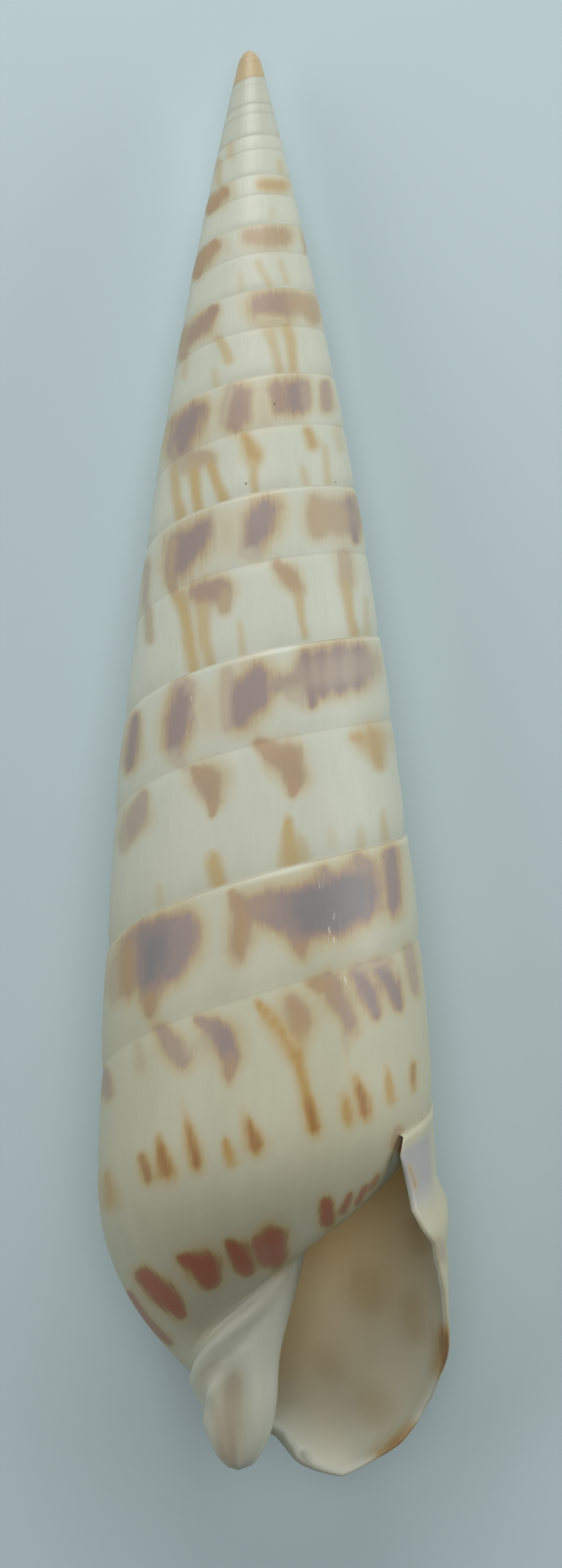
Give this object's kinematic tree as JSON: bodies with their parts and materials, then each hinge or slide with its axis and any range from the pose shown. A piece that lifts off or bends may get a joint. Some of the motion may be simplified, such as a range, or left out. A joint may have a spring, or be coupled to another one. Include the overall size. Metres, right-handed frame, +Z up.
{
  "type": "auger shell",
  "caption": "Long pointed spiral sea snail shell lying with its opening upwards, cream with ochre and purple-brown blotches.",
  "frame": {"origin": "middle of the shell's outline seen from above, on the surface that it rests on", "axes": "+Y towards the point of the spire, +Z up, out of the opening's side, +X towards the outer lip"},
  "size_m": [0.0176, 0.0754, 0.0167],
  "materials": {
    "shell": "satin, cream with ochre and purple-brown markings"
  },
  "bodies": {
    "root": {"shell": "shell"}
  },
  "joints": []
}
